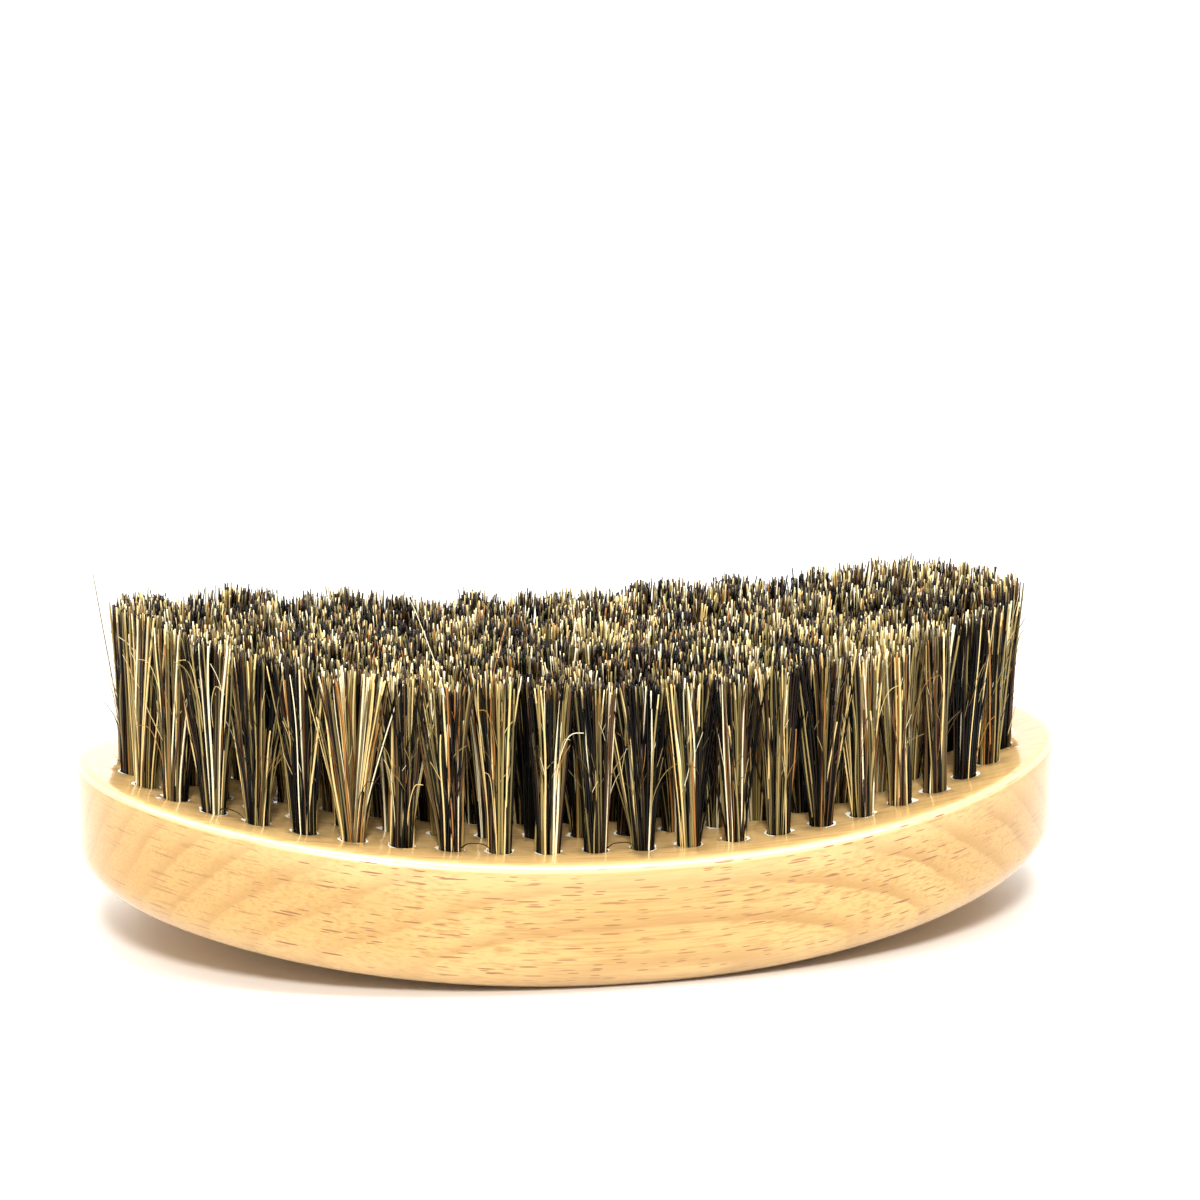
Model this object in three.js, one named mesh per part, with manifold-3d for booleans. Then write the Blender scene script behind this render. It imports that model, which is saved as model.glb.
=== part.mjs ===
// Curved palm brush: a bent oval beech block, bristle tufts set in blind holes in its concave
// face, and the flat wire anchors that hold the tufts down.
//
// Units are millimetres. +X runs along the block, +Y across it and +Z up, out of the bristle
// face. The origin is under the middle of the block, on the surface that its back rests on.

import * as THREE from 'three';
import { mergeVertices } from 'three/addons/utils/BufferGeometryUtils.js';
import Module from 'manifold-3d';

const wasm = await Module();
wasm.setup();

// ---------------------------------------------------------------------------------------
// Driving dimensions
// ---------------------------------------------------------------------------------------

const BLOCK_LENGTH = 125;
const BLOCK_WIDTH = 69;
const BLOCK_THICKNESS = 15.9; // at mid length, before the resting flat is sanded
const OUTLINE_POWER = 2.25; // 2 is an ellipse, more makes the ends blunter
const FACE_BEND_RADIUS = 270; // concave bristle face
const BACK_BEND_RADIUS = 230; // convex back
const BACK_EDGE_RADIUS = 4.5;
const FACE_EDGE_RADIUS = 1.5;
const RESTING_FLAT_LENGTH = 22; // flat on the back that the block stands on

const HOLE_DIAMETER = 3;
const HOLE_DEPTH = 8;
const OUTER_ROW_INSET = 6.6; // from the outline to the middle of the outer row
const ROW_START = 1.7; // first tuft of a row, along the row from the middle of the front
const ROW_TUFTS = [48, 41, 33, 26]; // nested rows, from the outer one inwards
const ROW_CLUMPS = [12, 10, 8, 7]; // pieces that each row is made in
const CENTRE_TUFTS = 11; // straight row in the middle
const CENTRE_END_MARGIN = 2.3; // from the end of the centre row to the end of the space for it

const BRISTLE_LENGTH = 20.1; // above the face
const MERGED_TIP_DEPTH = 4; // top part, where neighbouring tufts have spread into each other
const OUTER_SPREAD = 1.8; // how far the outer row's tips lean out past the middle of the row
const TUFT_SIDE_CLEARANCE = 0.3;
const TUFT_FLOOR_CLEARANCE = 0.3;
const PIECE_GAP = 0.3;
const MERGED_OVERLAP = 0.15; // how far merged tufts of one clump reach into each other

const ANCHOR_BITE = 0.5; // how far each end of an anchor reaches into the wood
const ANCHOR_HEIGHT = 1.8;
const ANCHOR_THICKNESS = 0.45;
const ANCHOR_CHAMFER = 0.4;
const ANCHOR_LIFT = 1.6; // from the floor of the hole to the anchor's lower edge

// How finely the curved shapes are faceted
const OUTLINE_SEGMENTS = 48;
const FACE_RINGS = 3;
const EDGE_SEGMENTS = 3;
const ROW_SAMPLES = 1440;
const HOLE_SIDES = 6; // flats that stand at the hole's true radius
const CELL_FACET_SHARE = 0.4; // longest facet of a row's inner line, as a share of its half width
const LEAST_CELL_STEPS = 2;

// ---------------------------------------------------------------------------------------
// Sizes that follow from them
// ---------------------------------------------------------------------------------------

const HALF_LENGTH = BLOCK_LENGTH / 2;
const HALF_WIDTH = BLOCK_WIDTH / 2;
const FLAT_DEPTH = sag(RESTING_FLAT_LENGTH / 2, BACK_BEND_RADIUS);
// The nested rows and the straight centre row share the half width inside the outer row evenly.
const ROW_SPACING = (HALF_WIDTH - OUTER_ROW_INSET) / ROW_TUFTS.length;
const BAND_HALF = (ROW_SPACING - PIECE_GAP) / 2;
const TUFT_RADIUS = HOLE_DIAMETER / 2 - TUFT_SIDE_CLEARANCE;
const ANCHOR_WIDTH = HOLE_DIAMETER + 2 * ANCHOR_BITE;

// ---------------------------------------------------------------------------------------
// Materials
// ---------------------------------------------------------------------------------------

const beech = new THREE.MeshStandardMaterial({ color: 0xe0b878, roughness: 0.38, metalness: 0 });
const bristle = new THREE.MeshStandardMaterial({ color: 0x4a3524, roughness: 0.5, metalness: 0 });
const wire = new THREE.MeshStandardMaterial({ color: 0xb9b4a6, roughness: 0.3, metalness: 1 });

// ---------------------------------------------------------------------------------------
// Curves
// ---------------------------------------------------------------------------------------

// How far an arc of this radius has moved off its tangent at a distance from the touch point.
function sag(distance, radius) {
  return radius - Math.sqrt(radius * radius - distance * distance);
}

function backHeight(x) {
  return sag(x, BACK_BEND_RADIUS) - FLAT_DEPTH;
}

function faceHeight(x) {
  return BLOCK_THICKNESS - FLAT_DEPTH + sag(x, FACE_BEND_RADIUS);
}

function signedPower(value, power) {
  return Math.sign(value) * Math.abs(value) ** power;
}

// Point of the blunt oval with these half axes.
function ovalPoint(halfLength, halfWidth, angle) {
  const x = halfLength * signedPower(Math.cos(angle), 2 / OUTLINE_POWER);
  const y = halfWidth * signedPower(Math.sin(angle), 2 / OUTLINE_POWER);
  return new THREE.Vector2(x, y);
}

// Gives the oval's angle at each distance along a row, measured from the middle of the front.
function makeRow(inset) {
  const halfLength = HALF_LENGTH - inset;
  const halfWidth = HALF_WIDTH - inset;
  const angles = [];
  const distances = [];
  let travelled = 0;
  let previous = null;
  for (let i = 0; i <= ROW_SAMPLES; i += 1) {
    const angle = -Math.PI / 2 + (2 * Math.PI * i) / ROW_SAMPLES;
    const point = ovalPoint(halfLength, halfWidth, angle);
    if (previous) travelled += point.distanceTo(previous);
    angles.push(angle);
    distances.push(travelled);
    previous = point;
  }
  function angleAt(distance) {
    const wrapped = THREE.MathUtils.euclideanModulo(distance, travelled);
    let i = 1;
    while (distances[i] < wrapped) i += 1;
    const share = (wrapped - distances[i - 1]) / (distances[i] - distances[i - 1]);
    return THREE.MathUtils.lerp(angles[i - 1], angles[i], share);
  }
  return { inset, halfLength, halfWidth, length: travelled, angleAt };
}

// ---------------------------------------------------------------------------------------
// Solids
// ---------------------------------------------------------------------------------------

function toSolid(geometry) {
  const bare = geometry.clone();
  bare.deleteAttribute('normal');
  bare.deleteAttribute('uv');
  const merged = mergeVertices(bare);
  const mesh = new wasm.Mesh({
    numProp: 3,
    vertProperties: new Float32Array(merged.attributes.position.array),
    triVerts: new Uint32Array(merged.index.array),
  });
  mesh.merge();
  return new wasm.Manifold(mesh);
}

function toGeometry(solid) {
  const mesh = solid.getMesh();
  const geometry = new THREE.BufferGeometry();
  geometry.setAttribute('position', new THREE.BufferAttribute(mesh.vertProperties, 3));
  geometry.setIndex(new THREE.BufferAttribute(mesh.triVerts, 1));
  geometry.computeVertexNormals();
  return geometry;
}

function joined(solids) {
  return solids.reduce((sum, solid) => sum.add(solid));
}

// Moves every vertex of a geometry to where the function puts it.
function reshape(geometry, place) {
  const position = geometry.attributes.position;
  const point = new THREE.Vector3();
  for (let i = 0; i < position.count; i += 1) {
    point.fromBufferAttribute(position, i);
    place(point);
    position.setXYZ(i, point.x, point.y, point.z);
  }
  return geometry;
}

// A solid turned about +Z from [radius, height] pairs.
function turned(profile, sides) {
  const points = profile.map(([radius, height]) => new THREE.Vector2(radius, height));
  const geometry = new THREE.LatheGeometry(points, sides);
  geometry.rotateX(Math.PI / 2);
  return geometry;
}

// ---------------------------------------------------------------------------------------
// Where the tufts stand
// ---------------------------------------------------------------------------------------

// The nested rows follow the outline. Each tuft knows the stretch of the row that it fills.
function nestedRowTufts() {
  return ROW_TUFTS.map((count, index) => {
    const row = makeRow(OUTER_ROW_INSET + index * ROW_SPACING);
    const pitch = row.length / count;
    const facet = CELL_FACET_SHARE * (row.halfWidth - BAND_HALF);
    row.cellSteps = Math.max(LEAST_CELL_STEPS, Math.ceil(pitch / facet));
    const tufts = [];
    for (let i = 0; i < count; i += 1) {
      const along = ROW_START + i * pitch;
      const place = ovalPoint(row.halfLength, row.halfWidth, row.angleAt(along));
      tufts.push({ place, from: along - pitch / 2, to: along + pitch / 2 });
    }
    return { row, tufts };
  });
}

// The straight centre row fills the space that the innermost nested row leaves.
function centreRowTufts() {
  const inset = OUTER_ROW_INSET + (ROW_TUFTS.length - 1) * ROW_SPACING + BAND_HALF + PIECE_GAP;
  const reach = HALF_LENGTH - inset - CENTRE_END_MARGIN;
  const pitch = (2 * reach) / CENTRE_TUFTS;
  const tufts = [];
  for (let i = 0; i < CENTRE_TUFTS; i += 1) {
    const from = -reach + i * pitch;
    const place = new THREE.Vector2(from + pitch / 2, 0);
    tufts.push({ place, from, to: from + pitch });
  }
  return tufts;
}

const nestedRows = nestedRowTufts();
const centreTufts = centreRowTufts();
const allTufts = [...nestedRows.flatMap(({ tufts }) => tufts), ...centreTufts];

// ---------------------------------------------------------------------------------------
// Anchors
// ---------------------------------------------------------------------------------------

function anchorPlace(tuft) {
  const { x, y } = tuft.place;
  const floor = faceHeight(x) - HOLE_DEPTH;
  return new THREE.Vector3(x, y, floor + ANCHOR_LIFT + ANCHOR_HEIGHT / 2);
}

// A short piece of flat wire standing on edge, its lower corners cut off so that it drives in.
function makeAnchor() {
  const side = ANCHOR_WIDTH / 2;
  const top = ANCHOR_HEIGHT / 2;
  const outline = new THREE.Shape([
    new THREE.Vector2(-side + ANCHOR_CHAMFER, -top),
    new THREE.Vector2(side - ANCHOR_CHAMFER, -top),
    new THREE.Vector2(side, -top + ANCHOR_CHAMFER),
    new THREE.Vector2(side, top),
    new THREE.Vector2(-side, top),
    new THREE.Vector2(-side, -top + ANCHOR_CHAMFER),
  ]);
  const geometry = new THREE.ExtrudeGeometry(outline, { depth: ANCHOR_THICKNESS, bevelEnabled: false });
  geometry.translate(0, 0, -ANCHOR_THICKNESS / 2);
  geometry.rotateX(Math.PI / 2);
  geometry.rotateZ(Math.PI / 2);
  return geometry;
}

// The room that an anchor takes in the wood and through the fold of the bristles.
function anchorRoom(tuft) {
  const geometry = new THREE.BoxGeometry(
    ANCHOR_THICKNESS + 2 * PIECE_GAP,
    ANCHOR_WIDTH + 2 * PIECE_GAP,
    ANCHOR_HEIGHT + 2 * PIECE_GAP,
  );
  geometry.translate(...anchorPlace(tuft));
  return toSolid(geometry);
}

// ---------------------------------------------------------------------------------------
// Block
// ---------------------------------------------------------------------------------------

// Half section of the block as [distance from the centre across the width, height], from the
// middle of the back round the edge to the middle of the face.
function blockSection() {
  const section = [];
  for (let i = 0; i < FACE_RINGS; i += 1) {
    section.push([((HALF_WIDTH - BACK_EDGE_RADIUS) * i) / FACE_RINGS, 0]);
  }
  for (let i = 0; i <= EDGE_SEGMENTS; i += 1) {
    const turn = ((Math.PI / 2) * i) / EDGE_SEGMENTS;
    const out = HALF_WIDTH - BACK_EDGE_RADIUS * (1 - Math.sin(turn));
    section.push([out, BACK_EDGE_RADIUS * (1 - Math.cos(turn))]);
  }
  for (let i = 0; i < EDGE_SEGMENTS; i += 1) {
    const turn = ((Math.PI / 2) * i) / EDGE_SEGMENTS;
    const out = HALF_WIDTH - FACE_EDGE_RADIUS * (1 - Math.cos(turn));
    section.push([out, BLOCK_THICKNESS - FACE_EDGE_RADIUS * (1 - Math.sin(turn))]);
  }
  for (let i = FACE_RINGS; i >= 0; i -= 1) {
    section.push([((HALF_WIDTH - FACE_EDGE_RADIUS) * i) / FACE_RINGS, BLOCK_THICKNESS]);
  }
  return section;
}

// Draws a point of the round blank out to the oval and bends it to the two radii.
function placeOnBlock(point) {
  const across = Math.hypot(point.x, point.y);
  const angle = Math.atan2(point.y, point.x);
  const inset = HALF_WIDTH - across;
  const edge = Math.max(BACK_EDGE_RADIUS, FACE_EDGE_RADIUS);
  const flatShare = Math.min(1, across / (HALF_WIDTH - edge));
  const halfLength = inset < edge ? HALF_LENGTH - inset : (HALF_LENGTH - edge) * flatShare;
  const share = point.z / BLOCK_THICKNESS;
  const oval = ovalPoint(halfLength, across, angle);
  point.x = oval.x;
  point.y = oval.y;
  point.z = THREE.MathUtils.lerp(backHeight(oval.x), faceHeight(oval.x), share);
}

// Everything under the resting flat, down to well below the lowest point of the bent back.
function belowRestingFlat() {
  const depth = 2 * FLAT_DEPTH;
  const geometry = new THREE.BoxGeometry(BLOCK_LENGTH, BLOCK_WIDTH, depth);
  geometry.translate(0, 0, -depth / 2);
  return toSolid(geometry);
}

// The cutter stands out of the face by its own radius, which clears the slope of the face.
function tuftHole(tuft) {
  const radius = HOLE_DIAMETER / 2 / Math.cos(Math.PI / HOLE_SIDES);
  const { x, y } = tuft.place;
  const profile = [[0, -HOLE_DEPTH], [radius, -HOLE_DEPTH], [radius, radius], [0, radius]];
  const geometry = turned(profile, HOLE_SIDES);
  geometry.translate(x, y, faceHeight(x));
  return toSolid(geometry);
}

function makeBlock() {
  const blank = turned(blockSection(), OUTLINE_SEGMENTS);
  const solid = toSolid(reshape(blank, placeOnBlock)).subtract(belowRestingFlat());
  const holes = joined(allTufts.map(tuftHole));
  const anchorRooms = joined(centreTufts.map(anchorRoom));
  return toGeometry(solid.subtract(holes).subtract(anchorRooms));
}

// ---------------------------------------------------------------------------------------
// Bristles
// ---------------------------------------------------------------------------------------

// Points along a stretch of the line at a distance outside a row, or inside it if negative.
function besideRow(row, distance, from, to) {
  const points = [];
  for (let i = 0; i <= row.cellSteps; i += 1) {
    const angle = row.angleAt(THREE.MathUtils.lerp(from, to, i / row.cellSteps));
    points.push(ovalPoint(row.halfLength + distance, row.halfWidth + distance, angle));
  }
  return points;
}

// Space of one tuft of a nested row, as corners on its outer and its inner side.
function rowCell(row, from, to) {
  const reach = row.inset > OUTER_ROW_INSET ? BAND_HALF : OUTER_SPREAD;
  return [
    ...besideRow(row, reach, from, to),
    ...besideRow(row, -BAND_HALF, from, to).reverse(),
  ];
}

// The faceted line all round that the innermost nested row's tufts end on.
function innermostLine() {
  const { row, tufts } = nestedRows.at(-1);
  return tufts.flatMap(({ from, to }) => besideRow(row, -BAND_HALF, from, to));
}

// Where a closed line crosses a distance along the block, from the front to the rear.
function crossings(line, x) {
  const found = [];
  line.forEach((start, index) => {
    const end = line[(index + 1) % line.length];
    const share = (x - start.x) / (end.x - start.x);
    if (share >= 0 && share < 1) found.push(THREE.MathUtils.lerp(start.y, end.y, share));
  });
  return [Math.min(...found), Math.max(...found)];
}

// Space of one centre tuft, kept clear of the innermost nested row.
function centreCell(line, from, to) {
  const front = [];
  const rear = [];
  for (let i = 0; i <= LEAST_CELL_STEPS; i += 1) {
    const x = THREE.MathUtils.lerp(from, to, i / LEAST_CELL_STEPS);
    const [nearest, farthest] = crossings(line, x);
    front.push(new THREE.Vector2(x, nearest + PIECE_GAP));
    rear.push(new THREE.Vector2(x, farthest - PIECE_GAP));
  }
  return [...front, ...rear.reverse()];
}

// One tuft: straight in its hole, then spreading until its tips fill its cell. It is drawn from
// a drum of radius 1 with a ring of corners at each whole height: the bottom, the face, where
// the tuft meets its neighbours and the tips. The first corner of each ring is at angle 0. The
// bottom is level, like the floor of the hole, and the other rings follow the face.
function makeTuft(tuft, cell) {
  const bottom = -HOLE_DEPTH + TUFT_FLOOR_CLEARANCE;
  const heights = [bottom, 0, BRISTLE_LENGTH - MERGED_TIP_DEPTH, BRISTLE_LENGTH];
  const fills = [0, 0, 1, 1];
  const steps = heights.length - 1;
  const drum = new THREE.CylinderGeometry(1, 1, steps, cell.length, steps);
  drum.translate(0, steps / 2, 0);
  drum.rotateX(Math.PI / 2);
  drum.rotateZ(Math.PI / 2);
  return toSolid(reshape(drum, (point) => {
    const level = Math.round(point.z);
    const onAxis = Math.round(Math.hypot(point.x, point.y)) === 0;
    const turn = THREE.MathUtils.euclideanModulo(Math.atan2(point.y, point.x), 2 * Math.PI);
    const corner = cell[Math.round((turn * cell.length) / (2 * Math.PI)) % cell.length];
    const place = tuft.place.clone();
    if (!onAxis) {
      const inHole = corner.clone().sub(tuft.place).setLength(TUFT_RADIUS).add(tuft.place);
      place.lerpVectors(inHole, corner, fills[level]);
    }
    const over = level === 0 ? tuft.place.x : place.x;
    point.set(place.x, place.y, faceHeight(over) + heights[level]);
  }));
}

// Neighbouring tufts of one clump, which have merged at their tips.
function makeClump(row, tufts) {
  const last = tufts.length - 1;
  return joined(tufts.map((tuft, index) => {
    const from = tuft.from + (index === 0 ? PIECE_GAP / 2 : -MERGED_OVERLAP);
    const to = tuft.to + (index === last ? -PIECE_GAP / 2 : MERGED_OVERLAP);
    return makeTuft(tuft, rowCell(row, from, to));
  }));
}

function makeCentreTuft(line, tuft) {
  const cell = centreCell(line, tuft.from + PIECE_GAP / 2, tuft.to - PIECE_GAP / 2);
  return makeTuft(tuft, cell).subtract(anchorRoom(tuft));
}

// ---------------------------------------------------------------------------------------
// Assembly
// ---------------------------------------------------------------------------------------

const brush = new THREE.Group();

function addPiece(name, geometry, material) {
  const piece = new THREE.Mesh(geometry, material.clone());
  piece.name = name;
  brush.add(piece);
  return piece;
}

function twoDigits(number) {
  return String(number).padStart(2, '0');
}

addPiece('brush_block', makeBlock(), beech);

nestedRows.forEach((nested, index) => {
  const clumps = ROW_CLUMPS[index];
  const count = nested.tufts.length;
  for (let i = 0; i < clumps; i += 1) {
    const first = Math.floor((i * count) / clumps);
    const next = Math.floor(((i + 1) * count) / clumps);
    const clump = makeClump(nested.row, nested.tufts.slice(first, next));
    addPiece(`row${index + 1}_tufts_${twoDigits(i + 1)}`, toGeometry(clump), bristle);
  }
});

const innerLine = innermostLine();
centreTufts.forEach((tuft, index) => {
  const number = twoDigits(index + 1);
  addPiece(`centre_tuft_${number}`, toGeometry(makeCentreTuft(innerLine, tuft)), bristle);
  const anchor = addPiece(`centre_anchor_${number}`, makeAnchor(), wire);
  anchor.position.copy(anchorPlace(tuft));
});

export default brush;
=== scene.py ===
"""Looks of the curved palm brush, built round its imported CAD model.

The beech block and the tufts of natural bristle are rebuilt here at full detail, in the places
that the CAD model gives them. Lengths are in millimetres until a mesh is made, and in metres
from then on.
"""

import math
import random
from collections import namedtuple

import bmesh
import bpy
import numpy as np
from mathutils import Matrix, Vector, geometry


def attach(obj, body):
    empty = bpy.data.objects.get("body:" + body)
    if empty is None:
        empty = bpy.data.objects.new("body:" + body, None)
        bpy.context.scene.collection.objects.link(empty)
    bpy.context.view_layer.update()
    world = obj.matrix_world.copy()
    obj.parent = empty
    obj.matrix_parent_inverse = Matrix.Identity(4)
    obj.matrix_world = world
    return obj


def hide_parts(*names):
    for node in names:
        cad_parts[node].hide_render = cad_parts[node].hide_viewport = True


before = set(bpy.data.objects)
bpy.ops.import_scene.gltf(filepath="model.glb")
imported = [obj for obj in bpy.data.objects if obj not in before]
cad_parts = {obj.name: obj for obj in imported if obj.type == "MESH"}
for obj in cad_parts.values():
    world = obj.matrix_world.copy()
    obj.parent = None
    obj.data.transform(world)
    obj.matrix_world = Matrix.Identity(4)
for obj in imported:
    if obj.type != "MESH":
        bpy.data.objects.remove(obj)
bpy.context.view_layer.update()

# ---------------------------------------------------------------------------------------
# Sizes, in millimetres, as in the CAD model
# ---------------------------------------------------------------------------------------

MM = 0.001

BLOCK_LENGTH = 125.0
BLOCK_WIDTH = 69.0
BLOCK_THICKNESS = 15.9
OUTLINE_POWER = 2.25
FACE_BEND_RADIUS = 270.0
BACK_BEND_RADIUS = 230.0
BACK_EDGE_RADIUS = 4.5
FACE_EDGE_RADIUS = 1.5
RESTING_FLAT_LENGTH = 22.0

HOLE_DIAMETER = 3.0
HOLE_DEPTH = 8.0
OUTER_ROW_INSET = 6.6
ROW_START = 1.7
ROW_TUFTS = (48, 41, 33, 26)
ROW_CLUMPS = (12, 10, 8, 7)
CENTRE_TUFTS = 11
CENTRE_END_MARGIN = 2.3
PIECE_GAP = 0.3

BRISTLE_LENGTH = 20.1

ANCHOR_WIDTH = 4.0
ANCHOR_HEIGHT = 1.8
ANCHOR_THICKNESS = 0.45
ANCHOR_CHAMFER = 0.4
ANCHOR_LIFT = 1.6

HALF_LENGTH = BLOCK_LENGTH / 2
HALF_WIDTH = BLOCK_WIDTH / 2
ROW_SPACING = (HALF_WIDTH - OUTER_ROW_INSET) / len(ROW_TUFTS)

SEED = 7163


# ---------------------------------------------------------------------------------------
# Curves of the block
# ---------------------------------------------------------------------------------------

def sag(distance, radius):
    """How far an arc of this radius has moved off its tangent at a distance along it."""
    return radius - np.sqrt(radius * radius - np.square(distance))


FLAT_DEPTH = float(sag(RESTING_FLAT_LENGTH / 2, BACK_BEND_RADIUS))


def back_height(x):
    return sag(x, BACK_BEND_RADIUS) - FLAT_DEPTH


def face_height(x):
    return BLOCK_THICKNESS - FLAT_DEPTH + sag(x, FACE_BEND_RADIUS)


def signed_power(value, power):
    return np.sign(value) * np.abs(value) ** power


def oval(half_length, half_width, angle):
    """Points of the blunt oval with these half axes, one row for each angle."""
    x = half_length * signed_power(np.cos(angle), 2 / OUTLINE_POWER)
    y = half_width * signed_power(np.sin(angle), 2 / OUTLINE_POWER)
    return np.stack([x, y], axis=-1)


# ---------------------------------------------------------------------------------------
# Where the tufts stand
# ---------------------------------------------------------------------------------------

ROW_SAMPLES = 1441  # points of the oval on which a row is measured out
HEADING_STEP = 0.5  # distance to the point ahead that gives a tuft its direction


def row_tufts(index, count):
    """The tufts of one nested row: place, direction along the row and half pitch."""
    inset = OUTER_ROW_INSET + index * ROW_SPACING
    angles = -math.pi / 2 + np.linspace(0, 2 * math.pi, ROW_SAMPLES)
    points = oval(HALF_LENGTH - inset, HALF_WIDTH - inset, angles)
    steps = np.linalg.norm(np.diff(points, axis=0), axis=1)
    travelled = np.concatenate([[0], np.cumsum(steps)])
    pitch = travelled[-1] / count
    tufts = []
    for i in range(count):
        at = (ROW_START + i * pitch) % travelled[-1]
        ahead = (at + HEADING_STEP) % travelled[-1]
        place = np.array([np.interp(at, travelled, points[:, k]) for k in (0, 1)])
        beyond = np.array([np.interp(ahead, travelled, points[:, k]) for k in (0, 1)])
        along = (beyond - place) / np.linalg.norm(beyond - place)
        tufts.append({"place": place, "along": along, "half_pitch": pitch / 2, "row": index})
    return tufts


def centre_tufts():
    """The straight middle row."""
    taken = OUTER_ROW_INSET + (len(ROW_TUFTS) - 0.5) * ROW_SPACING + PIECE_GAP / 2
    reach = HALF_LENGTH - taken - CENTRE_END_MARGIN
    pitch = 2 * reach / CENTRE_TUFTS
    along = np.array([1.0, 0.0])
    return [
        {"place": np.array([-reach + (i + 0.5) * pitch, 0.0]), "along": along,
         "half_pitch": pitch / 2, "row": len(ROW_TUFTS)}
        for i in range(CENTRE_TUFTS)
    ]


def clumps():
    """CAD node name and the tufts that it stands for, for every bristle node."""
    found = []
    for index, (count, parts) in enumerate(zip(ROW_TUFTS, ROW_CLUMPS)):
        tufts = row_tufts(index, count)
        for i in range(parts):
            first, after = i * count // parts, (i + 1) * count // parts
            found.append((f"row{index + 1}_tufts_{i + 1:02d}", tufts[first:after]))
    for i, tuft in enumerate(centre_tufts()):
        found.append((f"centre_tuft_{i + 1:02d}", [tuft]))
    return found


CLUMPS = clumps()
TUFTS = [tuft for _, tufts in CLUMPS for tuft in tufts]


# ---------------------------------------------------------------------------------------
# Node helpers
# ---------------------------------------------------------------------------------------

def srgb(red, green, blue):
    """Linear colour of an sRGB value from 0 to 255."""
    def linear(value):
        share = value / 255
        return share / 12.92 if share <= 0.04045 else ((share + 0.055) / 1.055) ** 2.4
    return (linear(red), linear(green), linear(blue), 1.0)


def new_material(name, **inputs):
    """A Principled material. Underscores in input names stand for spaces."""
    material = bpy.data.materials.new(name)
    material.use_nodes = True
    shader = material.node_tree.nodes["Principled BSDF"]
    for key, value in inputs.items():
        shader.inputs[key.replace("_", " ")].default_value = value
    return material, material.node_tree, shader


class Nodes:
    """Short calls for building a node tree."""

    def __init__(self, tree):
        self.tree = tree

    def add(self, kind, **settings):
        node = self.tree.nodes.new(kind)
        for key, value in settings.items():
            setattr(node, key, value)
        return node

    def plug(self, value, socket):
        if isinstance(value, bpy.types.NodeSocket):
            self.tree.links.new(value, socket)
        else:
            socket.default_value = value

    def math(self, operation, first, second=0.0):
        node = self.add("ShaderNodeMath", operation=operation)
        self.plug(first, node.inputs[0])
        self.plug(second, node.inputs[1])
        return node.outputs[0]

    def times(self, first, second):
        return self.math("MULTIPLY", first, second)

    def place(self):
        """Object coordinates, in metres."""
        return self.add("ShaderNodeTexCoord").outputs["Object"]

    def parts(self, vector):
        node = self.add("ShaderNodeSeparateXYZ")
        self.plug(vector, node.inputs[0])
        return tuple(node.outputs)

    def random_parts(self, cells):
        """Two random shares that stay the same all over each cell of a Voronoi node."""
        node = self.add("ShaderNodeSeparateColor")
        self.plug(cells.outputs["Color"], node.inputs[0])
        return node.outputs["Red"], node.outputs["Green"]

    def vector(self, x, y, z):
        node = self.add("ShaderNodeCombineXYZ")
        for value, socket in zip((x, y, z), node.inputs):
            self.plug(value, socket)
        return node.outputs[0]

    def noise(self, vector, scale, detail=2.0, roughness=0.5):
        node = self.add("ShaderNodeTexNoise")
        self.plug(vector, node.inputs["Vector"])
        node.inputs["Scale"].default_value = scale
        node.inputs["Detail"].default_value = detail
        node.inputs["Roughness"].default_value = roughness
        return node.outputs["Fac"]

    def voronoi(self, vector, scale=1.0):
        node = self.add("ShaderNodeTexVoronoi")
        self.plug(vector, node.inputs["Vector"])
        node.inputs["Scale"].default_value = scale
        return node

    def span(self, value, low, high, to_low=0.0, to_high=1.0):
        node = self.add("ShaderNodeMapRange", interpolation_type="SMOOTHSTEP")
        for key, item in zip(("Value", "From Min", "From Max", "To Min", "To Max"),
                             (value, low, high, to_low, to_high)):
            self.plug(item, node.inputs[key])
        return node.outputs[0]

    def mix(self, share, first, second):
        node = self.add("ShaderNodeMix", data_type="RGBA")
        self.plug(share, node.inputs["Factor"])
        self.plug(first, node.inputs["A"])
        self.plug(second, node.inputs["B"])
        return node.outputs["Result"]

    def bump(self, height, strength, distance):
        node = self.add("ShaderNodeBump")
        self.plug(height, node.inputs["Height"])
        node.inputs["Strength"].default_value = strength
        node.inputs["Distance"].default_value = distance
        return node.outputs["Normal"]


# ---------------------------------------------------------------------------------------
# Materials
# ---------------------------------------------------------------------------------------

WOOD_DARK = srgb(198, 156, 86)
WOOD_LIGHT = srgb(210, 170, 102)
WOOD_LATE_RING = srgb(166, 122, 52)
WOOD_FIBRE = srgb(168, 125, 54)
WOOD_FACE = srgb(232, 188, 120)
# painted light: lightens the sides under the rim as a highlight and over the back as floor bounce
WOOD_PAINTED_LIGHT = srgb(238, 206, 148)
WOOD_END_GRAIN = srgb(178, 134, 62)
WOOD_FACE_LINE = srgb(186, 128, 62)
# painted highlight on the rounded rim round the face
WOOD_RIM_HIGHLIGHT = srgb(255, 242, 214)
WOOD_FLECK = srgb(134, 78, 26)
WOOD_SPECK = srgb(90, 56, 30)

RING_SPACING = 3.1
RING_TILT = (-0.8, -0.6)  # how far into the rings a step in y and a step up lead
PAINTED_LIGHT_TOP = (5.5, 1.5)  # depths under the rim between which the painted highlight brightens the sides
PAINTED_LIGHT_BACK = (1.0, 6.0)  # heights over the back between which the painted floor bounce light fades out

Fleck = namedtuple("Fleck", "length height outline share shift")
FLECK_KINDS = (Fleck(4.6, 0.38, 0.33, 0.27, 0.0), Fleck(2.6, 0.27, 0.33, 0.33, 31.7))
FLECK_CORE = 0.72  # share of a fleck's outline within which it is at its darkest
FLECK_WIDTH = 14.0  # flecks are sheets that run this far into the wood
FLECK_FADE = (40.0, 62.0)  # distances from the middle between which flecks grow fainter

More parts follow.
